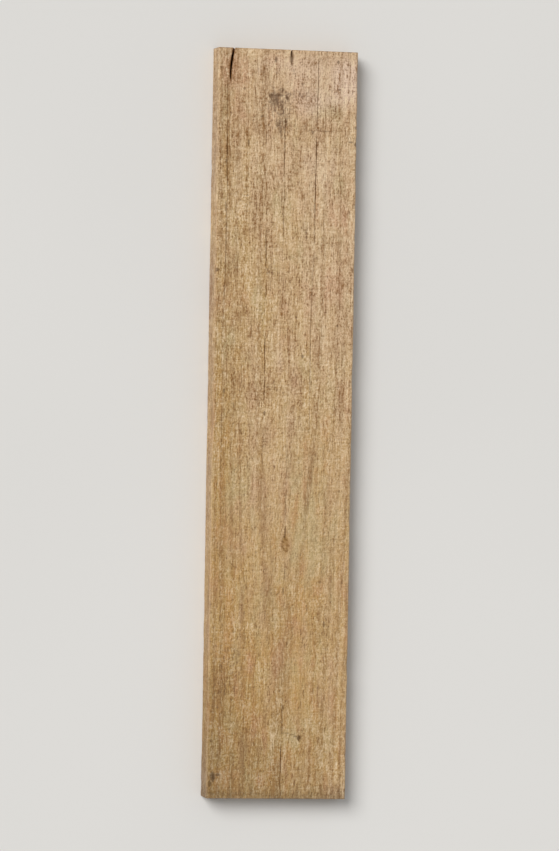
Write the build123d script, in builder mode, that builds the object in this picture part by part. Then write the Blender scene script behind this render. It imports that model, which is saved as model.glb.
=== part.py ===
from build123d import *
import os

# A short wide board of rough-sawn softwood, cut by hand from a longer one.
# +Y runs along the grain towards the head end, +X to the right of the good face and +Z out of it.
# The board lies on its back, with the origin under its middle.
# All sizes are in millimetres.

# Driving dimensions of the board
length = 1035.0  # along the right edge, the longer of the two
width = 200.0
thickness = 32.0
out_of_square = 4.0  # the foot was sawn askew, so the left edge is this much shorter
arris_radius = 1.5  # handling has eased the four long arrises

# End split near the left edge of the head, which runs through the board along a ray of the wood
split_inset = 22.0  # from the left edge to the middle of its mouth on the good face
split_reach = 45.0
split_mouth = 3.1
split_drift = -4.6  # sideways run of the grain from its mouth to its tip
split_lean = 11.5  # sideways run from the good face to the back
split_back_reach = 26.0
split_back_mouth = 1.7

# Short check at the middle of the head, open in the good face only
check_offset = 4.0  # from the middle of the head to the middle of its mouth
check_reach = 11.0
check_mouth = 1.6
check_drift = -0.6
check_depth = 12.0
check_lean = 2.0  # sideways run from the good face to its floor
check_floor_reach = 4.0
check_floor_mouth = 0.6

# Form of every split, as shares of its own reach and mouth
waist_place = 0.45  # share of the reach at which its sides start to close
waist_width = 1.0  # share of the mouth that is still open there
waist_drift = 0.72  # share of the drift that is used up there
tip_width = 0.35  # share of the mouth left at the tip, where the fibres still hold

left_edge = -width / 2
right_edge = width / 2
head_end = length / 2
foot_end = -length / 2
check_inset = width / 2 + check_offset


def split_outline(height, inset, reach, mouth, drift):
    """Outline of a split at one height, from just outside the head to its tip in the grain."""
    mouth_x = left_edge + inset
    waist_x = mouth_x + waist_drift * drift
    waist_y = head_end - waist_place * reach
    tip_x = mouth_x + drift
    tip_y = head_end - reach
    half_mouth = mouth / 2
    half_waist = half_mouth * waist_width
    half_tip = half_mouth * tip_width
    with BuildSketch(Plane.XY.offset(height)) as outline:
        with BuildLine():
            left_side = Spline(
                (mouth_x - half_mouth, head_end),
                (waist_x - half_waist, waist_y),
                (tip_x - half_tip, tip_y),
            )
            Line(left_side @ 1, (tip_x + half_tip, tip_y))
            right_side = Spline(
                (tip_x + half_tip, tip_y),
                (waist_x + half_waist, waist_y),
                (mouth_x + half_mouth, head_end),
            )
            Polyline(
                right_side @ 1,
                (mouth_x + half_mouth, head_end + mouth),
                (mouth_x - half_mouth, head_end + mouth),
                left_side @ 0,
            )
        make_face()
    return outline.sketch


with BuildPart() as plank:
    # The sawn board, with its head cut square and its foot a little askew
    with BuildSketch(Plane.XY):
        with BuildLine():
            Polyline(
                (left_edge, foot_end + out_of_square),
                (right_edge, foot_end),
                (right_edge, head_end),
                (left_edge, head_end),
                close=True,
            )
        make_face()
    extrude(amount=thickness)
    fillet(plank.edges().filter_by(Axis.Y), radius=arris_radius)

    # The split narrows and shortens from the good face to the back
    split_front = split_outline(thickness, split_inset, split_reach, split_mouth, split_drift)
    split_back = split_outline(
        0, split_inset + split_lean, split_back_reach, split_back_mouth, split_drift
    )
    loft([split_front, split_back], ruled=True, mode=Mode.SUBTRACT)

    # The short check closes before it is halfway through the board
    check_front = split_outline(thickness, check_inset, check_reach, check_mouth, check_drift)
    check_floor = split_outline(
        thickness - check_depth,
        check_inset + check_lean,
        check_floor_reach,
        check_floor_mouth,
        check_drift,
    )
    loft([check_front, check_floor], ruled=True, mode=Mode.SUBTRACT)

plank.part.label = "plank"

os.makedirs("parts", exist_ok=True)
export_step(plank.part, "parts/plank.step")
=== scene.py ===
import math
from collections import namedtuple

import bpy
import numpy as np
from mathutils import Matrix, Vector


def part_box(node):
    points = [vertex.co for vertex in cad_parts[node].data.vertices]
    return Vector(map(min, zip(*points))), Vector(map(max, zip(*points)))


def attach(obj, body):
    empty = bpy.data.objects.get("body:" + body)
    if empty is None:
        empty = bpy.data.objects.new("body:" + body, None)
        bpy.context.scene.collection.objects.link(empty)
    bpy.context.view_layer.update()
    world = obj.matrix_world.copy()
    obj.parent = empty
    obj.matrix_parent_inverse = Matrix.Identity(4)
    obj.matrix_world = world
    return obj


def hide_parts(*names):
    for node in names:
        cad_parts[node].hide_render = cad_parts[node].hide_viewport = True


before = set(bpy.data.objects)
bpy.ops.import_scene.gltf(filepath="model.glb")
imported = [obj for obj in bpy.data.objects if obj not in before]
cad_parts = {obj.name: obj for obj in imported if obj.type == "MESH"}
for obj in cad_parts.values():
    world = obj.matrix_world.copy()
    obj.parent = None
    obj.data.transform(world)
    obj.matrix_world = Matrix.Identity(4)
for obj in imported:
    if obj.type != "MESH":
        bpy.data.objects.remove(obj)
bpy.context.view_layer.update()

# A short wide board of rough-sawn softwood, lying on its back and seen from above.
# Shapes are worked out in millimetres and scaled to metres when a mesh is made.
# +Y runs along the grain to the head end, +X to the right of the good face and +Z out of it.
board_low, board_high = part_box("plank")

MM = 0.001
LEFT = board_low.x / MM
RIGHT = board_high.x / MM
FOOT = board_low.y / MM
HEAD = board_high.y / MM
THICKNESS = board_high.z / MM
WIDTH = RIGHT - LEFT
LENGTH = HEAD - FOOT

# Sizes that the solid has too
OUT_OF_SQUARE = 4.0  # the left edge is this much shorter at the foot
SOLID_ARRIS = 1.5
SPLIT_INSET = 22.0
SPLIT_REACH = 45.0
SPLIT_MOUTH = 3.1
SPLIT_DRIFT = -4.6
SPLIT_LEAN = 11.5
SPLIT_BACK_REACH = 26.0
SPLIT_BACK_MOUTH = 1.7
CHECK_OFFSET = 4.0
CHECK_REACH = 11.0
CHECK_MOUTH = 1.6
CHECK_DRIFT = -0.6
CHECK_DEPTH = 12.0
CHECK_LEAN = 2.0
CHECK_FLOOR_REACH = 4.0
CHECK_FLOOR_MOUTH = 0.6
WAIST_PLACE = 0.45
WAIST_WIDTH = 1.0
WAIST_DRIFT = 0.72
TIP_WIDTH = 0.35

# Grid of the skin
COLUMN_STEP = 1.7
ROW_STEP = 4.6
END_ROW_STEP = 1.8
EDGE_STEP = 1.9
ARC_STEP = math.radians(22.5)
SEAM_CLEARANCE = 0.9  # no plain column comes nearer to a seam than this
SEAM_CLOSED = 0.16  # half the width of a seam's strip of skin where it hasn't opened
FACE_MARGIN = 2.0  # from a long edge to a wide face's first column, before the arris moves it
END_REACH = 16.0  # how far from each end the rows are closer together
KNOT_ROWS = 0.28  # more rows in each millimetre beside a knot
SHARP_ANGLE = math.radians(38)  # edges sharper than this aren't shaded smooth

# Hairline checks
CHECK_STEEPNESS = 2.6  # depth for each millimetre of width
CHECK_DEEPEST = 2.4

# Grid of the wedges that cut the split and the short check out of the head
WEDGE_START = -0.06  # share of their reach at which they begin, beyond the head
WEDGE_OVER = 1.5  # how far they stand out of a face
WEDGE_STATIONS = 22
SPLIT_LEVELS = 18
CHECK_LEVELS = 9
WEDGE_RAGGED = 0.22  # share of its half width by which each side strays

# The log it was sawn from
PITH_ACROSS = 3.0
PITH_DEPTH = -190.0
PITH_TAPER = 0.005
RING_STEP = 3.2

# Knots in the good face. Reach is how far the bent grain goes, heart the share that is paler inside
# and sink how far the knot lies below the face
Knot = namedtuple("Knot", "x y half_width half_height reach heart sink")
KNOTS = (
    Knot(7.0, -164.0, 5.6, 15.5, 13.0, 0.4, 0.45),
    Knot(32.0, -433.0, 2.2, 5.2, 10.0, -1.0, 0.25),
)
KNOT_DEPTH = 30.0  # how far into the board the grain still parts round a knot

# Relief of the weathered skin, in millimetres below the sawn faces
LEAST_RELIEF = 0.03
WAVE_RELIEF = 0.13
RING_RELIEF = 0.13
FIBRE_RELIEF = 0.10
SAW_RELIEF = 0.05
EDGE_RELIEF = 0.3

# Lines of the grain along which the drying wood has opened hairline checks. Paths are (along, across)
# from foot to head, and the openings in the good face and in the back are (from, to, width)
Seam = namedtuple("Seam", "path front back")
SEAMS = (
    Seam(
        ((-518, -88), (0, -86.5), (160, -86), (314, -84), (469, -87), (518, -88)),
        ((310, 474, 1.0), (150, 330, 0.5), (-120, 20, 0.3)),
        ((-480, -300, 0.5),),
    ),
    Seam(
        ((-518, -29), (35, -27), (200, -27), (267, -28), (518, -27)),
        ((206, 278, 0.8), (172, 202, 0.65), (68, 128, 0.85), (32, 64, 0.85), (-60, 0, 0.35)),
        ((380, 560, 0.8),),
    ),
    Seam(
        ((-518, -6), (0, -3.5), (267, -3), (428, -4), (518, -5)),
        ((240, 436, 0.55), (328, 432, 0.9)),
        (),
    ),
    Seam(
        ((-518, 5), (-489, 5), (-444, 5.5), (-425, 7), (-377, 6), (-140, 7), (0, 7), (518, 9)),
        ((-508, -438, 1.0), (-432, -372, 0.85), (-138, -4, 0.45), (-215, -183, 0.4)),
        ((-560, -380, 0.7),),
    ),
    Seam(
        ((-518, 36), (-13, 38.5), (148, 38), (262, 41), (518, 43)),
        ((238, 410, 1.05), (380, 700, 0.7), (132, 262, 0.5), (-20, 152, 0.62), (-120, -30, 0.3)),
        ((60, 330, 0.4),),
    ),
)


def seam_place(seam, y):
    """Where a seam lies across the board, at places along it."""
    along, across = zip(*seam.path)
    return np.interp(y, along, across)


SEAM_HOMES = [seam_place(seam, 0.0) for seam in SEAMS]


def lattice(*places):
    """Points of the noise lattice, from a number or an array for each of its three directions."""
    return np.stack(np.broadcast_arrays(*places), axis=-1)


# How many values the noise draws from, and what spreads its lattice over them
NOISE_VALUES = 4096
SPREAD = np.array([73856093, 19349663, 83492791])


def hash_noise(points, seed):
    """Smooth noise from -1 to 1 at points counted in steps of its lattice."""
    values = np.random.default_rng(seed).uniform(-1, 1, NOISE_VALUES)
    cell = np.floor(points).astype(np.int64)
    part = points - cell
    ease = part * part * (3 - 2 * part)
    total = np.zeros(points.shape[:-1])
    for corner in np.ndindex(2, 2, 2):
        slot = np.bitwise_xor.reduce((cell + np.array(corner)) * SPREAD, axis=-1)
        share = np.prod(np.where(np.array(corner) == 1, ease, 1 - ease), axis=-1)
        total += share * values[slot % NOISE_VALUES]
    return total


def grain_noise(points, across, along, seed):
    """Smooth noise whose patches are that wide across the grain and that long along it."""
    return hash_noise(points / np.array([across, along, across]), seed)


def smooth_step(start, end, value):
    share = np.clip((value - start) / (end - start), 0, 1)
    return share * share * (3 - 2 * share)


def foot_line(x):
    """Where the askew foot end lies, at a place across the board."""
    return FOOT + OUT_OF_SQUARE * (RIGHT - x) / WIDTH


def seam_places(y):
    """The seams' places across the board, a little ragged, for each y given."""
    places = []
    for number, seam in enumerate(SEAMS):
        ragged = 0.35 * hash_noise(lattice(number * 7.0, y / 17.0, 0.0), 11)
        ragged += 0.15 * hash_noise(lattice(number * 5.0, y / 6.0, 1.0), 12)
        places.append(seam_place(seam, y) + ragged)
    return np.stack(places, axis=-1)


def grain_across(points):
    """Place across the board counted along the grain, so that it stays the same along each seam."""
    x, y = points[..., 0], points[..., 1]
    side = np.ones((*y.shape, 1))
    actual = np.concatenate([LEFT * side, seam_places(y), RIGHT * side], axis=-1)
    home = [LEFT, *SEAM_HOMES, RIGHT]
    result = x.copy()
    for k in range(len(home) - 1):
        start, end = actual[..., k], actual[..., k + 1]
        inside = (x >= start) & (x <= end)
        moved = home[k] + (x - start) / (end - start) * (home[k + 1] - home[k])
        result = np.where(inside, moved, result)
    return result


def bend_round_knots(across, points):
    """The place across with the grain parted round each knot."""
    depth = smooth_step(THICKNESS - KNOT_DEPTH, THICKNESS, points[..., 2])
    for knot in KNOTS:
        offset = across - knot.x
        along = (points[..., 1] - knot.y) / (1.25 * knot.half_height)
        swell = knot.half_width * np.exp(-(along**2))
        push = swell * depth * np.exp(-np.maximum(np.abs(offset) - swell, 0) / knot.reach)
        across = across - np.sign(offset) * np.minimum(push, np.abs(offset))
    return across


def ring_count(points, across):
    """Growth rings counted from the pith, a smooth number whose fraction is the place in the ring."""
    y = points[..., 1]
    pith_x = PITH_ACROSS + 5 * np.sin(y / 310.0 + 0.6)
    pith_z = PITH_DEPTH + PITH_TAPER * y + 1.3 * np.sin(y / 145.0 + 1.0)
    radius = np.hypot(across - pith_x, points[..., 2] - pith_z)
    radius = radius + 0.55 * grain_noise(points, 21, 130, 21) + 0.25 * grain_noise(points, 8, 60, 22)
    return radius / RING_STEP + 0.9 * hash_noise(lattice(radius / 11.0, 0.0, 0.0), 23)


def ring_profile(rings):
    """0 in the pale early wood, rising to 1 in the dark late wood at the end of each ring."""
    part = rings - np.floor(rings)
    return smooth_step(0.35, 0.9, part) * (1 - smooth_step(0.94, 1.0, part))


def almond(points, knot):
    """1 inside a knot of pointed outline, falling to 0 outside it."""
    along = np.clip(np.abs(points[..., 1] - knot.y) / knot.half_height, 0, 1)
    room = knot.half_width * (1 - along**1.6) + 0.05
    return smooth_step(1.15, 0.8, np.abs(points[..., 0] - knot.x) / room) * (along < 1)


def opening(segments, y, number):
    """Width of a seam along its length: each check tapers to nothing at both its ends."""
    width = np.zeros_like(y)
    ragged = 0.85 + 0.35 * hash_noise(lattice(y / 13.0, 3.0 * number, 0.0), 31)
    for start, end, widest in segments:
        share = np.clip((y - start) / (end - start), 0, 1)
        width = np.maximum(width, widest * (1 - np.abs(2 * share - 1) ** 5) * ragged)
    return width


# Long arrises, numbered round the section, and their chips: middle, half length and depth
TOP_LEFT, TOP_RIGHT, LOW_RIGHT, LOW_LEFT = range(4)
CHIPS = {
    TOP_LEFT: ((508, 14, 1.6), (213, 10, 3.4), (47, 6, 1.8), (-118, 8, 1.6), (-392, 15, 2.4)),
    TOP_RIGHT: ((391, 8, 2.6), (305, 5, 1.4), (64, 11, 2.0), (-96, 6, 1.8), (-330, 14, 2.8)),
    LOW_RIGHT: ((420, 12, 2.4), (122, 17, 3.2), (-205, 8, 2.0), (-470, 10, 2.8)),
    LOW_LEFT: ((350, 10, 2.6), (60, 7, 2.0), (-262, 13, 3.0), (-500, 9, 2.2)),
}


def arris_radius(y, corner):
    """Radius of a worn long arris, with the nicks and chips that handling has left."""
    bruised = hash_noise(lattice(y / 70.0, 9.0 * corner, 0.0), 41)
    nicked = hash_noise(lattice(y / 13.0, 5.0 * corner, 1.0), 42)
    chipped = hash_noise(lattice(y / 13.0, 5.0 * corner, 1.0), 43)
    wear = 0.4 * (1 + bruised) + 2.6 * np.clip(nicked - 0.25, 0, 1)
    for middle, half_length, depth in CHIPS[corner]:
        place = np.clip((y - middle) / half_length, -1, 1)
        wear = np.maximum(wear, depth * np.sqrt(1 - place**2) * (1 + 0.3 * chipped))
    return SOLID_ARRIS + 0.1 + wear


def row_places():
    """Places of the rows along the board, closer together near its ends and at the knots."""
    fine = np.linspace(0, LENGTH, 4001)
    near_end = np.exp(-((np.minimum(fine, LENGTH - fine) / END_REACH) ** 2))
    density = 1 / ROW_STEP + (1 / END_ROW_STEP - 1 / ROW_STEP) * near_end
    for knot in KNOTS:
        beside = (fine + FOOT - knot.y) / (1.3 * knot.half_height)
        density = density + KNOT_ROWS * np.exp(-(beside**4))
    count = np.concatenate([[0], np.cumsum((density[1:] + density[:-1]) / 2 * np.diff(fine))])
    return np.interp(np.linspace(0, count[-1], int(count[-1]) + 1), count, fine) / LENGTH


def face_columns():
    """Columns of a wide face: place across, number of its seam or -1, and its side of the seam."""
    room = WIDTH - 2 * FACE_MARGIN
    plain = np.linspace(LEFT + FACE_MARGIN, RIGHT - FACE_MARGIN, int(room / COLUMN_STEP) + 1)
    kept = [(x, -1, 0) for x in plain if min(abs(x - h) for h in SEAM_HOMES) > SEAM_CLEARANCE]
    for number, home in enumerate(SEAM_HOMES):
        kept += [(home + side * SEAM_CLOSED, number, side) for side in (-1, 0, 1)]
    return sorted(kept)


def face_line(columns, y, radii, is_front):
    """Places across of one row of a wide face, and how deep each point lies in an open check."""
    left_radius, right_radius = radii
    row = np.array([y])
    home = [LEFT + FACE_MARGIN, *SEAM_HOMES, RIGHT - FACE_MARGIN]
    actual = [LEFT + left_radius, *seam_places(row)[0], RIGHT - right_radius]
    across = np.interp([x for x, number, side in columns], home, actual)
    depth = np.zeros(len(columns))
    for i, (x, number, side) in enumerate(columns):
        if number < 0:
            continue
        seam = SEAMS[number]
        width = opening(seam.front if is_front else seam.back, row, number)[0]
        across[i] = actual[number + 1] + side * max(SEAM_CLOSED, width / 2)
        if side == 0:
            depth[i] = min(CHECK_STEEPNESS * width, CHECK_DEEPEST)
    return across, depth


def section(columns, sides, y):
    """One closed loop of the board's section: places, outward directions and depth in checks."""
    radius = [arris_radius(np.array([y]), corner)[0] for corner in range(4)]
    top_x, top_depth = face_line(columns, y, (radius[TOP_LEFT], radius[TOP_RIGHT]), True)
    low_x, low_depth = face_line(columns, y, (radius[LOW_LEFT], radius[LOW_RIGHT]), False)
    points = []

    def arc(corner, start, count):
        r = radius[corner]
        centre_x = LEFT + r if corner in (TOP_LEFT, LOW_LEFT) else RIGHT - r
        centre_z = THICKNESS - r if corner in (TOP_LEFT, TOP_RIGHT) else r
        for k in range(count):
            angle = start - k * ARC_STEP
            c, s = math.cos(angle), math.sin(angle)
            points.append((centre_x + r * c, centre_z + r * s, c, s, 0))

    # Round the section, from the middle of the upper left arris
    turn = math.pi / 2
    arc(TOP_LEFT, 1.5 * turn, 2)
    points.extend((x, THICKNESS, 0, 1, d) for x, d in zip(top_x, top_depth))
    arc(TOP_RIGHT, turn - ARC_STEP, 3)
    right_side = np.linspace(THICKNESS - radius[TOP_RIGHT], radius[LOW_RIGHT], sides)
    points.extend((RIGHT, z, 1, 0, 0) for z in right_side)
    arc(LOW_RIGHT, -ARC_STEP, 3)
    points.extend((x, 0, 0, -1, d) for x, d in zip(low_x[::-1], low_depth[::-1]))
    arc(LOW_LEFT, -turn - ARC_STEP, 3)
    left_side = np.linspace(radius[LOW_LEFT], THICKNESS - radius[TOP_LEFT], sides)
    points.extend((LEFT, z, -1, 0, 0) for z in left_side)
    arc(TOP_LEFT, 2 * turn - ARC_STEP, 1)
    return np.array(points)


def skin_relief(points):
    """How far the weathered skin lies inside the sawn faces, in millimetres."""
    x, y, z = np.moveaxis(points, -1, 0)
    across = bend_round_knots(grain_across(points), points)
    rings = ring_count(points, across)
    resolved = 1 - smooth_step(0.45, 0.6, np.abs(across - PITH_ACROSS) / (z - PITH_DEPTH))
    relief = LEAST_RELIEF + WAVE_RELIEF * (1 + grain_noise(points, 48, 170, 51)) / 2
    relief += RING_RELIEF * (1 - ring_profile(rings)) * resolved
    relief += FIBRE_RELIEF * (1 + grain_noise(lattice(across, y, z), 3.4, 75, 52)) / 2
    relief += SAW_RELIEF * (1 + np.sin(y / 3.6 + 0.05 * x)) / 2
    from_middle = np.abs(x - (LEFT + RIGHT) / 2)
    on_side = smooth_step(WIDTH / 2 - 2.5, WIDTH / 2 - 0.5, from_middle)
    relief += on_side * EDGE_RELIEF * (1 + grain_noise(points, 60, 70, 53))
    on_face = smooth_step(THICKNESS - 3, THICKNESS - 1, z)
    for knot in KNOTS:
        relief += on_face * knot.sink * almond(points, knot)
    return relief


def end_relief(points, seed):
    """How far the hand-sawn end grain lies inside the end, in millimetres."""
    saw = 0.5 + 0.5 * np.sin(points[..., 0] / 1.9 + 0.35 * points[..., 2])
    rough = 0.5 + 0.5 * hash_noise(points / np.array([3.1, 50.0, 2.6]), seed)
    return 0.04 + 0.14 * rough + 0.07 * saw


def loop_sides(loop, wide):
    """An end's loop as its four sides: top and low from left to right, right and left upwards."""
    high = len(loop) // 2 + 2 - wide
    top = loop[:wide]
    right = loop[wide - 1 : wide + high - 1][::-1]
    low = loop[wide + high - 2 : 2 * wide + high - 2][::-1]
    left = np.concatenate([loop[2 * wide + high - 3 :], loop[:1]])
    return top, right, low, left


def end_grid(top, right, low, left):
    """Points of an end face in a grid, spread evenly between its four sides."""
    s = ((top[:, 0] - top[0, 0]) / (top[-1, 0] - top[0, 0]))[:, None, None]
    t = ((left[:, 2] - left[0, 2]) / (left[-1, 2] - left[0, 2]))[None, :, None]
    grid = (1 - t) * low[:, None] + t * top[:, None] + (1 - s) * left[None] + s * right[None]
    corners = (1 - s) * (1 - t) * low[0] + s * (1 - t) * low[-1]
    return grid - corners - (1 - s) * t * top[0] - s * t * top[-1]


def tube_quads(rows, around):
    """Quads of a tube whose points are numbered round each of its rows in turn."""
    index = np.arange(rows * around).reshape(rows, around)
    beside = np.roll(index, -1, axis=1)
    return np.stack([index[:-1], beside[:-1], beside[1:], index[1:]], axis=-1).reshape(-1, 4)


def sawn_rows(columns):
    """Rows of points on the sawn faces, their outward directions and their depths in checks."""
    shares = row_places()
    middle = foot_line(0.0) + shares * (HEAD - foot_line(0.0))
    sides = int(THICKNESS / EDGE_STEP)
    loops = np.stack([section(columns, sides, y) for y in middle])
    x, z, out_x, out_z, depth = np.moveaxis(loops, -1, 0)
    start = foot_line(x)
    y = start + shares[:, None] * (HEAD - start)
    return lattice(x, y, z), lattice(out_x, 0.0, out_z), depth


# The rows at the two ends, the way into the board from each, and the seed of each end's noise
ENDS = ((0, 1, 61), (-1, -1, 60))

# The three rows by an end that the saw has frayed: number, distance behind the end and inset
FRAYED_ROWS = ((0, 0.0, 0.75), (1, 0.35, 0.25), (2, 1.1, 0.0))


def end_line(end, x):
    """Where an end lies along the board, at places across."""
    return foot_line(x) if end == 0 else np.full_like(x, HEAD)


def fray_end(points, sawn, outward, end, away, seed):
    """Draws the rows by an end in where the saw has frayed them."""
    fray = 0.55 + 0.45 * hash_noise(points[end] / np.array([5.0, 50.0, 5.0]), seed)
    face = end_relief(points[end], seed + 2)
    line = end_line(end, sawn[end, :, 0])
    for number, back, inset in FRAYED_ROWS:
        row = end + away * number
        points[row] -= outward[row] * (inset * fray)[:, None]
        points[row][:, 1] = line + away * (face * (1 - number / 2) + back)


def end_cap(loop, ids, wide, first, end, away, seed):
    """Inner points of an end, numbered from first on, and the quads that join them to its loop."""
    inner = end_grid(*loop_sides(loop, wide))[1:-1, 1:-1]
    inner[..., 1] = end_line(end, inner[..., 0]) + away * end_relief(inner, seed + 2)
    top, right, low, left = loop_sides(ids, wide)
    table = np.zeros((len(top), len(left)), int)
    table[:, -1] = top
    table[-1] = right
    table[:, 0] = low
    table[0] = left
    inner = inner.reshape(-1, 3)
    table[1:-1, 1:-1] = first + np.arange(len(inner)).reshape(table[1:-1, 1:-1].shape)
    cells = np.stack([table[:-1, :-1], table[1:, :-1], table[1:, 1:], table[:-1, 1:]], axis=-1)
    return inner, cells.reshape(-1, 4)[:, ::away]


def build_skin():
    """The closed skin of the board before its head is split."""
    columns = face_columns()
    sawn, outward, depth = sawn_rows(columns)
    points = sawn - outward * (skin_relief(sawn) + depth)[..., None]
    for end, away, seed in ENDS:
        fray_end(points, sawn, outward, end, away, seed)
    verts = [points.reshape(-1, 3)]
    quads = [tube_quads(*points.shape[:2])]
    count = len(verts[0])
    index = np.arange(count).reshape(points.shape[:2])
    wide = len(columns) + 4
    for end, away, seed in ENDS:
        inner, cells = end_cap(points[end], index[end], wide, count, end, away, seed)
        verts.append(inner)
        quads.append(cells)
        count += len(inner)
    return np.concatenate(verts), np.concatenate(quads)


def new_object(name, data):
    made = bpy.data.objects.new(name, data)
    bpy.context.scene.collection.objects.link(made)
    return made


def new_mesh_object(name, points, quads):
    """A mesh object from points in millimetres and quads of their numbers."""
    mesh = bpy.data.meshes.new(name)
    mesh.from_pydata((points * MM).tolist(), [], quads.tolist())
    mesh.validate()
    return new_object(name, mesh)


# Outline of a split at one height: where the middle of its mouth lies, its reach, mouth and drift
Outline = namedtuple("Outline", "height middle reach mouth drift")


def split_curve(mouth, waist, tip):
    """Curve along a split that has these values at its mouth, its waist and its tip."""
    return np.polyfit([0.0, WAIST_PLACE, 1.0], [mouth, waist, tip], 2)


WIDTH_CURVE = split_curve(1.0, WAIST_WIDTH, TIP_WIDTH)
DRIFT_CURVE = split_curve(0.0, WAIST_DRIFT, 1.0)


def wedge_quads(levels, stations):
    """Quads of a closed wedge whose levels run in along its left side and out along its right."""
    around = 2 * stations
    near = np.arange(stations - 1)
    far = around - 1 - near
    low_end = np.stack([near, far, far - 1, near + 1], axis=-1)
    top_end = np.stack([near, near + 1, far - 1, far], axis=-1) + (levels - 1) * around
    return np.concatenate([tube_quads(levels, around), low_end, top_end])


def split_cutter(name, front, back, levels, seed):
    """Closed wedge that opens a split between its two outlines, a little ragged."""
    stations = np.concatenate([[WEDGE_START], np.linspace(0, 1, WEDGE_STATIONS)])
    points = []
    for height in levels:
        share = (front.height - height) / (front.height - back.height)
        level = Outline(*[a + share * (b - a) for a, b in zip(front, back)])
        centre = level.middle + level.drift * np.polyval(DRIFT_CURVE, stations)
        half = level.mouth / 2 * np.polyval(WIDTH_CURVE, stations)
        y = HEAD - stations * level.reach
        spots = lattice(0.0, y / 3.0, height / 2.5)
        left = centre - half * (1 + WEDGE_RAGGED * hash_noise(spots, seed))
        right = centre + half * (1 + WEDGE_RAGGED * hash_noise(spots, seed + 1))
        points += [lattice(left, y, height), lattice(right, y, height)[::-1]]
    quads = wedge_quads(len(levels), len(stations))
    return new_mesh_object(name, np.concatenate(points), quads)


def head_cutters():
    """The wedge of the long split, which runs through, and of the short check in the good face."""
    mouth = LEFT + SPLIT_INSET
    low_mouth = mouth + SPLIT_LEAN
    split = split_cutter(
        "split_wedge",
        Outline(THICKNESS, mouth, SPLIT_REACH, SPLIT_MOUTH, SPLIT_DRIFT),
        Outline(0.0, low_mouth, SPLIT_BACK_REACH, SPLIT_BACK_MOUTH, SPLIT_DRIFT),
        np.linspace(-WEDGE_OVER, THICKNESS + WEDGE_OVER, SPLIT_LEVELS),
        71,
    )
    middle = LEFT + WIDTH / 2 + CHECK_OFFSET
    low_middle = middle + CHECK_LEAN
    floor_z = THICKNESS - CHECK_DEPTH
    check = split_cutter(
        "check_wedge",
        Outline(THICKNESS, middle, CHECK_REACH, CHECK_MOUTH, CHECK_DRIFT),
        Outline(floor_z, low_middle, CHECK_FLOOR_REACH, CHECK_FLOOR_MOUTH, CHECK_DRIFT),
        np.linspace(floor_z, THICKNESS + WEDGE_OVER, CHECK_LEVELS),
        73,
    )
    return split, check


def cut(board, cutters):
    """Takes the cutters out of the board and drops them."""
    for cutter in cutters:
        modifier = board.modifiers.new(cutter.name, "BOOLEAN")
        modifier.operation = "DIFFERENCE"
        modifier.solver = "MANIFOLD"
        modifier.object = cutter
    depsgraph = bpy.context.evaluated_depsgraph_get()
    mesh = bpy.data.meshes.new_from_object(board.evaluated_get(depsgraph))
    board.modifiers.clear()
    whole = board.data
    board.data = mesh
    bpy.data.meshes.remove(whole)
    for cutter in cutters:
        bpy.data.meshes.remove(cutter.data)


def store(mesh, name, values):
    """Keeps one smooth number for each vertex, or three, for the material to read."""
    kind, key = ("FLOAT", "value") if values.ndim == 1 else ("FLOAT_VECTOR", "vector")
    attribute = mesh.attributes.new(name, kind, "POINT")
    attribute.data.foreach_set(key, np.ascontiguousarray(values, np.float32).ravel())


def blob(points, across, along, half_width, half_height):
    """A soft round patch on the good face: 1 at its centre, fading out past its edge."""
    x, y, z = points.T
    offset = ((x - across) / half_width) ** 2 + ((y - along) / half_height) ** 2
    return np.exp(-offset) * smooth_step(THICKNESS - 8, THICKNESS - 1, z)


# Patches of the good face: across, along, half width, half height, strength
STAINS = (
    (-14, 453, 14, 12, 0.5),
    (0, 456, 9, 6, 0.4),
    (-22, 447, 7, 10, 0.4),
    (-12, 438, 19, 18, 0.4),
    (-6, 424, 12, 16, 0.34),
    (22, 458, 13, 8, 0.5),
    (-8, 412, 9, 8, 0.42),
    (30, 409, 38, 3, 0.45),
    (-30, 420, 12, 16, 0.2),
    (8, 489, 5, 7, 0.4),
    (30, 270, 12, 10, 0.26),
    (-92, -486, 9, 9, 0.45),
    (-55, 303, 9, 13, 0.4),
    (-22, 210, 10, 13, 0.35),
    (-18, 52, 24, 7, 0.3),
    (20, 62, 12, 8, 0.25),
    (52, 240, 10, 12, 0.2),
    (66, -300, 7, 28, 0.3),
    (-70, -330, 30, 60, 0.25),
)
# Paler patches of bleached wood. The first ones, at the head, are partly painted light that lightens and
# cools its right side
BLEACHED_AND_LIT = (
    (87, 477, 17, 27, 1.3),
    (40, 488, 64, 34, 0.62),
    (50, 448, 46, 17, 0.6),
    (24, 432, 24, 12, 0.3),
    (-20, 500, 40, 14, 0.3),
    (50, 358, 38, 40, 0.48),
    (-8, 92, 12, 16, 0.35),
    (32, 170, 10, 30, 0.2),
    (12, 20, 24, 40, 0.25),
    (-42, 478, 12, 30, 0.25),
    (62, 130, 12, 60, 0.25),
    (-28, 122, 9, 11, 0.3),
    (8, -214, 11, 22, 0.28),
    (-28, -202, 11, 26, 0.22),
    (-60, -262, 18, 12, 0.22),
    (-52, -335, 12, 10, 0.2),
)
PINKISH = (
    (26, -328, 54, 20, 0.7),
    (73, 285, 17, 24, 0.8),
    (34, 188, 16, 16, 0.8),
    (-72, 492, 26, 26, 0.4),
    (66, 200, 14, 30, 0.5),
    (-66, 440, 14, 40, 0.5),
    (-52, 24, 12, 16, 0.6),
    (-88, 480, 14, 34, 0.5),
    (-20, 500, 22, 10, 0.4),
    (-45, 150, 10, 30, 0.4),
)
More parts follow.
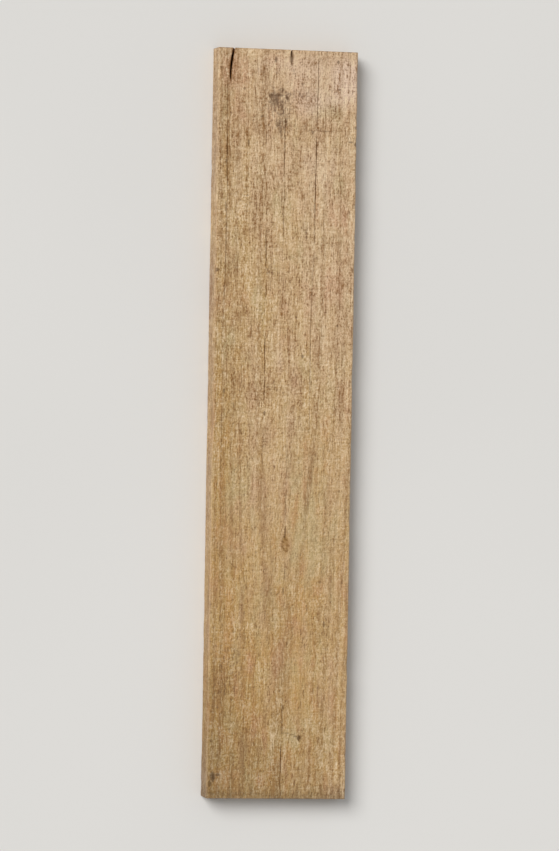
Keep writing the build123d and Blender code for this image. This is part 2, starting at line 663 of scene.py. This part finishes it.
GREYED = (
    (50, 440, 24, 20, 0.8),
    (-74, 250, 14, 40, 0.6),
    (-84, 120, 14, 50, 0.5),
    (-60, -90, 20, 50, 0.6),
    (14, 231, 16, 15, 0.7),
    (-10, 300, 12, 34, 0.4),
    (40, -140, 34, 92, 0.75),
    (-22, -235, 20, 26, 0.6),
    (30, -430, 26, 30, 0.6),
    (70, 40, 14, 34, 0.5),
)

# Where the saw has torn the fibres more than elsewhere, or below 0 less
ROUGHENED = (
    (-40, 355, 14, 32, 0.3),
    (-60, 290, 12, 14, 0.3),
    (40, 258, 18, 14, 0.4),
    (30, 190, 12, 22, 0.25),
    (-30, 35, 12, 26, 0.5),
    (10, 45, 26, 10, 0.25),
    (-40, -72, 26, 7, 0.2),
    (-45, -280, 22, 10, 0.45),
    (56, -262, 12, 22, 0.4),
    (-12, -338, 10, 14, 0.6),
    (-76, -345, 16, 26, 0.35),
    (70, -330, 10, 20, 0.25),
    (32, -160, 14, 44, -0.3),
    (22, -340, 16, 40, -0.3),
    (30, -392, 10, 18, -0.25),
    (-90, -110, 14, 110, -0.12),
)

# Streaks of the good face along its grain, the dark ones above 0 and the light ones below
STREAKS = (
    (10, 409, 96, 11, 0.6),
    (0, 100, 24, 90, 0.32),
    (-40, -255, 22, 90, 0.42),
    (-82, 378, 13, 46, 0.4),
    (50, -277, 19, 26, 0.4),
    (36, -82, 4.5, 52, -0.5),
    (-57, 389, 3, 32, 0.8),
    (-37, 328, 3, 54, 0.8),
    (-87, 400, 3.5, 64, 0.25),
    (-29, 150, 2.5, 120, 0.5),
    (7, -70, 2.5, 70, 0.4),
    (62, -290, 6, 40, 0.6),
    (16, 330, 5, 150, 0.4),
    (-39, 150, 3.5, 170, -0.7),
    (-14, 230, 4, 110, -0.7),
    (54, 335, 7, 62, -0.6),
    (57, 95, 5, 52, -0.7),
    (-40, -110, 4, 110, -0.45),
    (-5, -130, 3.5, 90, -0.7),
    (45, -120, 5, 140, -0.3),
    (-62, -230, 3.5, 130, -0.5),
)

PATCHES = {"stain": STAINS, "bleach_and_light": BLEACHED_AND_LIT, "pinkish": PINKISH, "greyed": GREYED, "streaks": STREAKS}


def patches(points, spots):
    """Sum of the soft patches, each as strong as its last number says."""
    return sum(strength * blob(points, *spot) for *spot, strength in spots)


# How far beside its middle the dirt of a hairline check and of the long split reaches
SEAM_DIRT_REACH = 0.95
SPLIT_DIRT_REACH = 2.9


def seam_dirt(points):
    """Dirt that has settled in and beside the open checks, 1 in their mouths."""
    x, y, z = points.T
    places = seam_places(y)
    dirt = split_dirt(points)
    for number, seam in enumerate(SEAMS):
        beside = np.exp(-(((x - places[:, number]) / SEAM_DIRT_REACH) ** 2))
        front = opening(seam.front, y, number) * smooth_step(THICKNESS - 6, THICKNESS - 3, z)
        back = opening(seam.back, y, number) * smooth_step(6, 3, z)
        dirt = np.maximum(dirt, beside * np.clip(1.1 * np.maximum(front, back), 0, 1))
    return dirt


def split_dirt(points):
    """Dirt along both sides of the long split, 1 at its middle line."""
    x, y, z = points.T
    back_share = 1 - z / THICKNESS
    reach = SPLIT_REACH + back_share * (SPLIT_BACK_REACH - SPLIT_REACH)
    station = (HEAD - y) / reach
    drift = SPLIT_DRIFT * np.polyval(DRIFT_CURVE, np.clip(station, 0, 1))
    middle = LEFT + SPLIT_INSET + back_share * SPLIT_LEAN + drift
    return np.exp(-(((x - middle) / SPLIT_DIRT_REACH) ** 2)) * smooth_step(1.25, 0.9, station)


def depths_inside(points):
    """How far each point lies inside the nearest long edge, wide face and end."""
    x, y, z = points.T
    side = np.minimum(x - LEFT, RIGHT - x)
    face = np.minimum(z, THICKNESS - z)
    end = np.minimum(y - foot_line(x), HEAD - y)
    return side, face, end


def grain_fields(points):
    """The flow of the grain and the growth rings."""
    across = bend_round_knots(grain_across(points), points)
    flow = lattice(across, points[:, 1], points[:, 2])
    return {"flow": flow, "rings": ring_count(points, across)}


def wear_fields(points):
    """Where the arrises are, where a split has opened and where dirt has settled."""
    side, face, end = depths_inside(points)
    corner = np.hypot(side, face)
    long_arris = 1 - smooth_step(1.5, 4.5, corner)
    end_arris = 1 - smooth_step(0.6, 3.2, np.hypot(np.minimum(side, face), end))
    inside = np.minimum(np.minimum(side, face), end)
    above_foot = points[:, 1] - foot_line(points[:, 0]) + 6 * grain_noise(points, 7, 30, 83)
    return {
        "arris": np.maximum(long_arris, 0.8 * end_arris),
        # painted shade: 1 deep inside the checks and the split, where shade falls
        "crevice_shade": smooth_step(0.55, 1.7, inside) * (corner > 4),
        "end_grain": 1 - smooth_step(0.5, 1.0, end),
        "edge": 1 - smooth_step(0.0, 1.2, side),
        "seam_dirt": seam_dirt(points),
        # 1 at the foot end, fading out within a few centimetres above it: darker towards the foot end
        "foot_darkening": 1 - smooth_step(-4, 26, above_foot),
    }


def tone_fields(points):
    """How pale, how dark and how rough the wood is along the board, with painted shade towards its foot.
    """
    x, y, z = points.T

    # It is palest towards its head and its right edge, and darkest at its foot. From head to foot
    # this is partly painted light and shade, and partly the wood's own paling and dirt
    pale = 0.5 + x / (2.6 * WIDTH) + y / (1.6 * LENGTH) + 0.16 * grain_noise(points, 40, 190, 81)
    foot = smooth_step(-290, -630, y + 0.8 * x + 40 * grain_noise(points, 20, 60, 82))
    foot = foot * smooth_step(0.2, 2.0, depths_inside(points)[2])

    # The saw has torn it most in its upper half and a little at its foot
    rough = 0.80 + 0.46 * smooth_step(-120, 60, y) + 0.22 * smooth_step(-330, -450, y)
    return {
        "pale": np.clip(pale, 0, 1),
        # painted shade that deepens towards the foot, partly dirt there, and a darker strip along the
        # left edge
        "shade": 1.022 - 0.29 * foot - 0.05 * smooth_step(-55, -100, x),
        "rough": rough + patches(points, ROUGHENED),
    }


def paint_fields(mesh):
    """Stores what the material needs to know about each vertex."""
    flat = np.empty(len(mesh.vertices) * 3)
    mesh.vertices.foreach_get("co", flat)
    points = flat.reshape(-1, 3) / MM
    fields = {**grain_fields(points), **wear_fields(points), **tone_fields(points)}
    for name, spots in PATCHES.items():
        fields[name] = patches(points, spots)
    for name, values in fields.items():
        store(mesh, name, values)


def add(tree, kind, inputs=(), **settings):
    """Adds a node. Inputs are a row or a dict, and a value that is another node's socket is linked."""
    node = tree.nodes.new(kind)
    for name, value in settings.items():
        setattr(node, name, value)
    for socket, value in inputs.items() if isinstance(inputs, dict) else enumerate(inputs):
        if isinstance(value, bpy.types.NodeSocket):
            tree.links.new(value, node.inputs[socket])
        else:
            node.inputs[socket].default_value = value
    return node


def attribute(tree, name, output="Fac"):
    return add(tree, "ShaderNodeAttribute", attribute_name=name).outputs[output]


def calc(tree, operation, first, second=0.0, third=0.0, clamp=False):
    inputs = (first, second, third)
    return add(tree, "ShaderNodeMath", inputs, operation=operation, use_clamp=clamp).outputs[0]


def times(tree, first, second, clamp=False):
    return calc(tree, "MULTIPLY", first, second, clamp=clamp)


def ramp(tree, value, start, end, low=0.0, high=1.0):
    """Smooth rise from low to high while the value goes from start to end."""
    inputs = (value, start, end, low, high)
    return add(tree, "ShaderNodeMapRange", inputs, interpolation_type="SMOOTHSTEP").outputs[0]


def vector_calc(tree, operation, first, second):
    return add(tree, "ShaderNodeVectorMath", (first, second), operation=operation).outputs[0]


def numbers_of(tree, vector):
    return add(tree, "ShaderNodeSeparateXYZ", (vector,)).outputs


def vector_of(tree, first, second=0.0, third=0.0):
    return add(tree, "ShaderNodeCombineXYZ", (first, second, third)).outputs[0]


def noise(tree, vector, across, along, detail=2.0, roughness=0.5):
    """Noise about 0, mostly within 1 of it, with patches of that size."""
    where = vector_calc(tree, "MULTIPLY", vector, (1 / across, 1 / along, 1 / across))
    inputs = {"Vector": where, "Scale": 1.0, "Detail": detail, "Roughness": roughness}
    raw = add(tree, "ShaderNodeTexNoise", inputs).outputs["Fac"]
    return calc(tree, "MULTIPLY_ADD", raw, 8.0, -4.0)


def noises(tree, vector, table):
    """A noise for each row of a table, by name."""
    return {name: noise(tree, vector, *row) for name, row in table.items()}


def blend(tree, factor, first, second):
    inputs = {0: factor, 6: first, 7: second}
    return add(tree, "ShaderNodeMix", inputs, data_type="RGBA").outputs[2]


def turned(tree, colour, target, amount, start, full, most=1.0):
    """The colour turned towards the target while the amount goes from start to full."""
    return blend(tree, ramp(tree, amount, start, full, 0.0, most), colour, target)


def weighted_sum(tree, fields, weights, start=0.0):
    """start plus each field times its weight. A name that isn't a field is the mesh's attribute."""
    values = [fields[name] if name in fields else attribute(tree, name) for name in weights]
    total = start
    for value, weight in zip(values, weights.values()):
        total = calc(tree, "MULTIPLY_ADD", value, weight, total)
    return total


def srgb(red, green, blue):
    """A colour given on the 0 to 255 scale of a screen, as linear light."""
    shares = (red / 255, green / 255, blue / 255)
    linear = [s / 12.92 if s <= 0.04045 else ((s + 0.055) / 1.055) ** 2.4 for s in shares]
    return (*linear, 1.0)


OCHRE_WOOD = srgb(187, 149, 88)
PALE_WOOD = srgb(210, 178, 141)
LATE_WOOD = srgb(142, 103, 60)
DARK_GRAIN = srgb(138, 96, 50)
LIGHT_FIBRE = srgb(236, 210, 173)
BLEACHED_AND_LIT_WOOD = srgb(234, 205, 181)
PINKISH_WOOD = srgb(206, 158, 126)
GREYED_WOOD = srgb(192, 171, 126)
RUSTY_WOOD = srgb(190, 140, 82)
STAIN_COLOUR = srgb(110, 84, 64)
MARK_COLOUR = srgb(84, 57, 28)
FLECK_COLOUR = srgb(114, 79, 42)
KNOT_HEART = srgb(164, 127, 76)
KNOT_RIM = srgb(122, 88, 42)
# the browner wood inside a split, darkened as painted shade
CREVICE_WOOD_AND_SHADE = srgb(150, 99, 46)
RAY_COLOUR = srgb(72, 50, 28)
SEAM_BROWN = srgb(118, 74, 22)
EDGE_WOOD = srgb(176, 154, 136)
BRUISED_ARRIS = srgb(196, 168, 138)
END_WOOD = srgb(184, 150, 108)
END_LATE_WOOD = srgb(106, 72, 40)
DARK_GREY_BROWN = srgb(106, 86, 60)

# Small dark marks on the good face: across, along, half width, half height, strength
DARK_MARKS = (
    (-18, 503, 2.2, 5.5, 0.65),
    (71, 503, 2.2, 3, 0.65),
    (20, 471, 2, 2.6, 0.4),
    (-62, 462, 2.2, 2.4, 0.45),
    (-9, 462, 4.6, 3.4, 0.42),
    (73, 465, 3.4, 1.5, 0.5),
    (-24, 453, 3.4, 5, 0.42),
    (-15, 455, 8, 2.6, 0.34),
    (-1, 451, 2.6, 3.2, 0.6),
    (-18, 445, 4.4, 6.5, 0.32),
    (-9, 440, 2.6, 7, 0.35),
    (-36, 425, 2, 2.4, 0.45),
    (-3, 419, 2.8, 2.8, 0.65),
    (-14, 415, 5, 3.4, 0.35),
    (-9, 404, 1.8, 10, 0.5),
    (98, 413, 2.2, 3, 0.6),
    (54, 407, 14, 1.5, 0.35),
    (-86, 300, 1.5, 9, 0.45),
    (36, 405, 2.4, 2.6, 0.5),
    (91, 393, 4, 1.7, 0.6),
    (98, 390, 2.8, 3, 0.7),
    (4.2, 507, 2.8, 13, 0.75),
    (-55, 388, 1.6, 6, 0.6),
    (-86, 362, 2.2, 3.6, 0.5),
    (29.5, 260, 1.6, 3.4, 0.5),
    (-97, 213, 5, 2.8, 0.7),
    (16.7, 150, 1.4, 2.4, 0.6),
    (76, 139, 1.5, 2.6, 0.6),
    (-26, 17, 2, 3.6, 0.65),
    (27, 96, 1.8, 3, 0.65),
    (-84, 47, 2, 4, 0.6),
    (6.4, -146, 1.5, 11, 0.6),
    (5, -228, 1.6, 6.5, 0.5),
    (64, -274, 1.7, 5, 0.6),
    (8, -389, 1.7, 4, 0.5),
    (13.5, -424.5, 4.6, 1.2, 0.35),
    (20.5, -426.5, 4.6, 1.2, 0.4),
    (26.5, -429.5, 4, 1.5, 0.5),
    (31, -431.5, 2.8, 4.8, 0.8),
    (-91, -483, 5, 7.5, 0.6),
    (-95, -493, 3.2, 5.5, 0.5),
    (-84, -481, 5, 2.4, 0.5),
)

# Noises that follow the grain: size across, size along, detail and roughness
GRAIN = {
    "fibre": (0.9, 30, 3.0, 0.6),
    "dash": (2.0, 17, 2.0, 0.6),
    "streak": (4.4, 80, 2.0, 0.6),
    "broad": (12, 210, 2.0, 0.6),
    "fuzz": (1.5, 4.6, 3.0, 0.7),
    "clump": (3.6, 8.0, 3.0, 0.7),
    "cloud": (24, 52, 3.0, 0.6),
    "torn": (15, 42, 3.0, 0.6),
    "warm": (19, 50, 3.0, 0.6),
}

# Noises that don't, and those of the end grain
SPECKS = {
    "grit": (2.4, 2.7, 2.0, 0.7),
    "blotch": (4.6, 5.2, 3.0, 0.7),
    "saw": (22, 2.2, 2.0, 0.6),
}
END_NOISES = {"pores": (0.9, 40, 2.0, 0.7), "damp": (17, 40, 3.0)}
WAVER = (26, 95)
WAVER_REACH = 0.9  # how far it takes the grain aside

# Weights of the noises in the dark and light grain, in the torn flecks and in the relief
LINES = {"fibre": 0.085, "dash": 0.175, "streak": 0.155, "broad": 0.09, "cloud": 0.14, "streaks": 0.3}
TONE = {**LINES, "fuzz": 0.17, "clump": 0.22, "grit": 0.24, "saw": 0.09}
DARKEN = 0.9
LIGHTEN = -0.84
FLECKS = {"fuzz": 0.5, "dash": 0.45, "grit": 0.22, "torn": 0.28}
TORN = {"fuzz": 0.12, "clump": 0.13, "grit": 0.12, "saw": 0.07}
RELIEF = {"fibre": 0.05, "dash": 0.06, "streak": 0.03, **TORN, "late": 0.15}

# Tints that follow an attribute of the mesh: colour, start, full value, most and what frays them
TINTS = {
    "pinkish": (PINKISH_WOOD, 0.0, 1.3, 0.62, {"warm": 0.4, "clump": 0.03}),
    "greyed": (GREYED_WOOD, 0.0, 1.3, 0.75, {"warm": -0.42, "clump": 0.08}),
    "bleach_and_light": (BLEACHED_AND_LIT_WOOD, 0.1, 1.2, 0.85, {"clump": 0.07, "cloud": 0.10, "dash": 0.05}),
    "stain": (STAIN_COLOUR, 0.15, 1.15, 0.8, {"roughen": 0.18, "blotch": 0.30, "dash": 0.13}),
    "arris": (BRUISED_ARRIS, 0.35, 1.2, 0.45, {"fuzz": 0.12, "streak": 0.16}),
    "foot_darkening": (DARK_GREY_BROWN, 0.0, 1.5, 0.6, {"blotch": 0.16, "dash": 0.12}),
}

# Fine checks of the end grain
RAY_STEP = 5.2  # space between them
RAY_WIDTH = 0.4  # half the width of one
RAY_SHORTEST = 1.5  # half the length of the shortest
RAY_LONGER = 11.0  # how much longer than that the longest is


def wood_fields(tree):
    """What the colour and relief of the wood are made of, by name: its place, noises and rings."""
    coordinates = add(tree, "ShaderNodeTexCoord").outputs["Object"]
    place = vector_calc(tree, "MULTIPLY", coordinates, (1 / MM, 1 / MM, 1 / MM))
    waver = noise(tree, place, *WAVER)
    aside = vector_of(tree, times(tree, waver, WAVER_REACH))
    flow = vector_calc(tree, "ADD", attribute(tree, "flow", "Vector"), aside)
    fields = {**noises(tree, flow, GRAIN), **noises(tree, place, SPECKS), "place": place}
    add_rings(tree, fields)
    fields["roughen"] = weighted_sum(tree, fields, {"fuzz": 0.25, "dash": 0.2})
    paled = {"broad": 0.10, "cloud": 0.14}
    fields["pale"] = weighted_sum(tree, fields, paled, attribute(tree, "pale"))
    return fields


def add_rings(tree, fields):
    """Adds the line that ends each growth ring, the ring's own random number, and its late wood."""
    ragged = {"streak": 0.06, "fibre": 0.025}
    rings = weighted_sum(tree, fields, ragged, attribute(tree, "rings"))
    part = calc(tree, "FRACT", rings)
    rise = ramp(tree, part, 0.2, 0.9)
    fields["line"] = times(tree, rise, ramp(tree, part, 1.0, 0.9))
    inputs = {"W": calc(tree, "FLOOR", rings)}
    own = add(tree, "ShaderNodeTexWhiteNoise", inputs, noise_dimensions="1D")
    fields["own"] = own.outputs["Value"]
    plain = weighted_sum(tree, fields, {"own": 0.45, "cloud": 0.12, "clump": 0.06, "dash": 0.06})
    fields["late"] = times(tree, fields["line"], plain, clamp=True)


def tinted(tree, fields, colour, name):
    """Lays on the tint that follows the mesh's attribute of this name."""
    target, start, full, most, frayed = TINTS[name]
    amount = weighted_sum(tree, fields, frayed, attribute(tree, name))
    return turned(tree, colour, target, amount, start, full, most)


def plain_colour(tree, fields):
    """The wood before its grain: ochre to pale, rusty where it is least so, with its patches."""
    # Paler and cooler at the head, darker and warmer at the foot: partly painted light, as the light
    # falls off along the board
    colour = turned(tree, OCHRE_WOOD, PALE_WOOD, fields["pale"], -0.1, 1.1)
    rust = weighted_sum(tree, fields, {"warm": 0.2, "streak": 0.2, "pale": -1.0}, 0.35)
    colour = turned(tree, colour, RUSTY_WOOD, rust, 0.0, 0.8, 0.6)
    for name in ("pinkish", "greyed", "bleach_and_light"):
        colour = tinted(tree, fields, colour, name)
    edge = weighted_sum(tree, fields, {"streak": 0.1, "edge": 0.5})
    colour = turned(tree, colour, EDGE_WOOD, edge, 0.0, 0.8)
    return blend(tree, fields["late"], colour, LATE_WOOD)


def grained_colour(tree, fields, colour):
    """Adds the dark and light grain, and the flecks of torn fibre."""
    tone = times(tree, weighted_sum(tree, fields, TONE), attribute(tree, "rough"))
    for weight, target in ((DARKEN, DARK_GRAIN), (LIGHTEN, LIGHT_FIBRE)):
        share = times(tree, tone, weight, clamp=True)
        colour = blend(tree, share, colour, target)
    flecks = weighted_sum(tree, fields, FLECKS)
    return turned(tree, colour, FLECK_COLOUR, flecks, 0.55, 1.6, 0.6)


def dark_marks(tree, fields):
    """The small dark marks of the good face, each as strong as its last number says."""
    x, y, z = numbers_of(tree, fields["place"])
    unevenness = times(tree, fields["roughen"], 0.25)
    marks = 0.0
    for across, along, half_width, half_height, strength in DARK_MARKS:
        aside = calc(tree, "MULTIPLY_ADD", x, 1 / half_width, -across / half_width)
        up = calc(tree, "MULTIPLY_ADD", y, 1 / half_height, -along / half_height)
        distance = calc(tree, "MULTIPLY_ADD", up, up, calc(tree, "ABSOLUTE", aside))
        distance = calc(tree, "ADD", distance, unevenness)
        marks = calc(tree, "MAXIMUM", marks, ramp(tree, distance, 1.3, 0.4, 0.0, strength))
    return times(tree, marks, ramp(tree, z, THICKNESS - 3, THICKNESS - 1))


def knot_distance(tree, fields, knot):
    """Distance from the middle of a knot, which reaches 1 at its pointed, ragged outline."""
    offset = vector_calc(tree, "SUBTRACT", fields["place"], (knot.x, knot.y, THICKNESS))
    size = (1 / (1.1 * knot.half_width), 1 / (1.05 * knot.half_height), 0.25)
    scaled = vector_calc(tree, "MULTIPLY", offset, size)
    x, y, z = numbers_of(tree, scaled)
    across = calc(tree, "ABSOLUTE", x)
    below = calc(tree, "ABSOLUTE", z)
    distance = calc(tree, "MULTIPLY_ADD", y, y, calc(tree, "ADD", across, below))
    return calc(tree, "MULTIPLY_ADD", fields["roughen"], 0.28, distance)


def knotted_colour(tree, fields, colour):
    """Adds the knots, each a warm brown heart in an uneven dark rim."""
    for knot in KNOTS:
        distance = knot_distance(tree, fields, knot)
        heart = weighted_sum(tree, fields, {"dash": 0.2, "grit": 0.2}, 0.62)
        heart = times(tree, heart, ramp(tree, distance, 1.3, 0.7), clamp=True)
        colour = blend(tree, heart, colour, KNOT_HEART)
        inner = ramp(tree, distance, knot.heart - 0.35, knot.heart + 0.25)
        rim = times(tree, ramp(tree, distance, 1.25, 0.75), inner)
        strength = weighted_sum(tree, fields, {"roughen": 0.5, "blotch": 0.6}, 0.38)
        rim = times(tree, rim, strength, clamp=True)
        colour = blend(tree, rim, colour, KNOT_RIM)
    return colour


def ray_checks(tree, place):
    """Fine straight checks that run outwards from the pith, 1 along the middle of each."""
    x, y, z = numbers_of(tree, place)
    across = calc(tree, "SUBTRACT", x, PITH_ACROSS)
    up = calc(tree, "SUBTRACT", z, PITH_DEPTH)
    around = times(tree, calc(tree, "ARCTAN2", across, up), -PITH_DEPTH)
    waver = noise(tree, vector_of(tree, around, up, y), 3, 9)
    slots = calc(tree, "DIVIDE", around, RAY_STEP)
    slots = calc(tree, "MULTIPLY_ADD", waver, 0.05, slots)

    which = vector_of(tree, calc(tree, "FLOOR", slots), calc(tree, "SIGN", y))
    own = add(tree, "ShaderNodeTexWhiteNoise", (which,), noise_dimensions="2D").outputs["Color"]
    height, length, shown = add(tree, "ShaderNodeSeparateColor", (own,)).outputs
    middle = calc(tree, "MULTIPLY_ADD", height, THICKNESS, -PITH_DEPTH)
    long = times(tree, length, length)
    half = calc(tree, "MULTIPLY_ADD", long, RAY_LONGER, RAY_SHORTEST)
    along = calc(tree, "DIVIDE", calc(tree, "SUBTRACT", up, middle), half)
    aside = calc(tree, "ABSOLUTE", calc(tree, "SUBTRACT", calc(tree, "FRACT", slots), 0.5))
    along = times(tree, along, along)
    distance = calc(tree, "MULTIPLY_ADD", aside, RAY_STEP / RAY_WIDTH, along)
    line = ramp(tree, distance, 1.1, 0.5)
    return times(tree, line, ramp(tree, shown, 0.35, 0.6))


def end_grain_colour(tree, fields):
    """The sawn ends, where every ring shows as an arc and dirt has settled between the fibres."""
    place = fields["place"]
    fields = {**fields, **noises(tree, place, END_NOISES)}
    shows = weighted_sum(tree, fields, {"own": 0.8, "pores": 0.12}, 0.25)
    arcs = calc(tree, "POWER", fields["line"], 1.5)
    arcs = times(tree, arcs, shows, clamp=True)
    colour = blend(tree, arcs, END_WOOD, END_LATE_WOOD)
    settled = weighted_sum(tree, fields, {"damp": 0.38, "pores": 0.2, "grit": 0.14}, 0.12)
    colour = turned(tree, colour, DARK_GREY_BROWN, settled, -0.1, 1.1, 0.75)
    checks = times(tree, ray_checks(tree, place), 0.75)
    return blend(tree, checks, colour, RAY_COLOUR)


def wood_colour(tree, fields):
    """Colour of every face, from the bare wood up to the dirt and the painted shade on it."""
    colour = grained_colour(tree, fields, plain_colour(tree, fields))
    colour = knotted_colour(tree, fields, colour)
    colour = tinted(tree, fields, colour, "stain")
    colour = blend(tree, dark_marks(tree, fields), colour, MARK_COLOUR)
    colour = tinted(tree, fields, colour, "arris")
    end_colour = end_grain_colour(tree, fields)
    colour = blend(tree, attribute(tree, "end_grain"), colour, end_colour)
    # Darker towards the foot end
    colour = tinted(tree, fields, colour, "foot_darkening")
    # The shade attribute darkens the colour: painted shade towards the foot, partly dirt there
    inputs = {0: colour, "Scale": attribute(tree, "shade")}
    colour = add(tree, "ShaderNodeVectorMath", inputs, operation="SCALE").outputs[0]
    dirt = weighted_sum(tree, fields, {"clump": 0.12, "seam_dirt": 0.9})
    colour = turned(tree, colour, SEAM_BROWN, dirt, 0.1, 0.9, 0.8)
    # Deep in the checks and the split the colour turns darker brown: painted shade in the recesses over
    # the browner wood inside
    crevice_shade = times(tree, attribute(tree, "crevice_shade"), 0.8)
    return blend(tree, crevice_shade, colour, CREVICE_WOOD_AND_SHADE)


def new_material(name):
    """A material with nothing in it yet, and its node tree."""
    material = bpy.data.materials.new(name)
    material.use_nodes = True
    material.node_tree.nodes.clear()
    return material, material.node_tree


def finish_surface(tree, surface):
    """Adds the shader with these inputs, and the output."""
    shader = add(tree, "ShaderNodeBsdfPrincipled", surface)
    add(tree, "ShaderNodeOutputMaterial", {"Surface": shader.outputs[0]})


def wood_material():
    material, tree = new_material("sawn_softwood")
    fields = wood_fields(tree)
    colour = wood_colour(tree, fields)
    roughness = weighted_sum(tree, fields, {"fibre": 0.015, "fuzz": 0.015, "late": -0.12}, 0.86)
    height = weighted_sum(tree, fields, RELIEF)
    bump = add(tree, "ShaderNodeBump", {"Strength": 1.0, "Distance": MM, "Height": height})
    surface = {
        "Base Color": colour,
        "Roughness": roughness,
        "Specular IOR Level": 0.3,
        "Normal": bump.outputs[0],
    }
    finish_surface(tree, surface)
    return material


def make_board():
    board = new_mesh_object("sawn_plank", *build_skin())
    cut(board, head_cutters())
    mesh = board.data
    paint_fields(mesh)
    mesh.shade_smooth()
    mesh.set_sharp_from_angle(angle=SHARP_ANGLE)
    mesh.materials.clear()
    mesh.materials.append(wood_material())
    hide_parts("plank")
    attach(board, "root")


# Studio
FLOOR_HALF = 12 / MM
FLOOR_DARKER = srgb(224, 222, 218)
FLOOR_PALER = srgb(226, 224, 220)
FILL = 0.40
KEY_TOWARDS = (-1.7, 1.3, 2.1)
KEY_SOFTNESS = math.radians(34)
KEY_STRENGTH = 2.45

# View: the board's face turned a little to the left, its head leaning to the right by a degree
CAMERA_DIRECTION = (-0.26, 0.02, 0.965)
CAMERA_DISTANCE = 5.0
CAMERA_LENS = 153.0
CAMERA_SENSOR = 36.0
CAMERA_ROLL = math.radians(1.0)


def floor_material():
    """Plain pale matt paint with the faintest unevenness."""
    material, tree = new_material("pale_floor")
    place = add(tree, "ShaderNodeTexCoord").outputs["Object"]
    uneven = noise(tree, place, 0.9, 0.9)
    colour = turned(tree, FLOOR_DARKER, FLOOR_PALER, uneven, -1.0, 1.0)
    finish_surface(tree, {"Base Color": colour, "Roughness": 0.9, "Specular IOR Level": 0.2})
    return material


def make_floor():
    corners = np.array([(-1, -1, 0), (1, -1, 0), (1, 1, 0), (-1, 1, 0)]) * FLOOR_HALF
    floor = new_mesh_object("studio_floor", corners, np.array([(0, 1, 2, 3)]))
    floor.data.materials.append(floor_material())


def make_lamp():
    """A far lamp as wide as a large window, which lights the whole floor alike."""
    data = bpy.data.lights.new("key_light", "SUN")
    data.angle = KEY_SOFTNESS
    data.energy = KEY_STRENGTH
    lamp = new_object("key_light", data)
    lamp.rotation_euler = Vector(KEY_TOWARDS).to_track_quat("Z", "Y").to_euler()


def make_world():
    """Even soft light from all round, which the camera sees as a plain pale backdrop."""
    world = bpy.data.worlds.new("studio")
    bpy.context.scene.world = world
    world.use_nodes = True
    tree = world.node_tree
    tree.nodes.clear()
    path = add(tree, "ShaderNodeLightPath")
    seen = calc(tree, "MAXIMUM", path.outputs["Is Camera Ray"], path.outputs["Is Glossy Ray"])
    seen = calc(tree, "MAXIMUM", seen, path.outputs["Is Transmission Ray"])
    light = add(tree, "ShaderNodeBackground", {"Color": (1, 1, 1, 1), "Strength": FILL})
    backdrop = add(tree, "ShaderNodeBackground", {"Color": FLOOR_PALER, "Strength": 1.0})
    mixed = add(tree, "ShaderNodeMixShader", (seen, light.outputs[0], backdrop.outputs[0]))
    add(tree, "ShaderNodeOutputWorld", {"Surface": mixed.outputs[0]})


def make_camera():
    data = bpy.data.cameras.new("camera")
    data.lens = CAMERA_LENS
    data.sensor_width = CAMERA_SENSOR
    camera = new_object("camera", data)
    target = Vector((0, (HEAD + FOOT) / 2, THICKNESS / 2)) * MM
    back = Vector(CAMERA_DIRECTION).normalized()
    level_right = Vector((0, 1, 0)).cross(back).normalized()
    level_up = back.cross(level_right)
    right = math.cos(CAMERA_ROLL) * level_right + math.sin(CAMERA_ROLL) * level_up
    up = back.cross(right)
    turn = Matrix((right, up, back)).transposed()
    camera.matrix_world = Matrix.Translation(target + back * CAMERA_DISTANCE) @ turn.to_4x4()
    bpy.context.scene.camera = camera


make_board()
make_floor()
make_lamp()
make_world()
make_camera()
bpy.context.scene.view_settings.view_transform = "Standard"
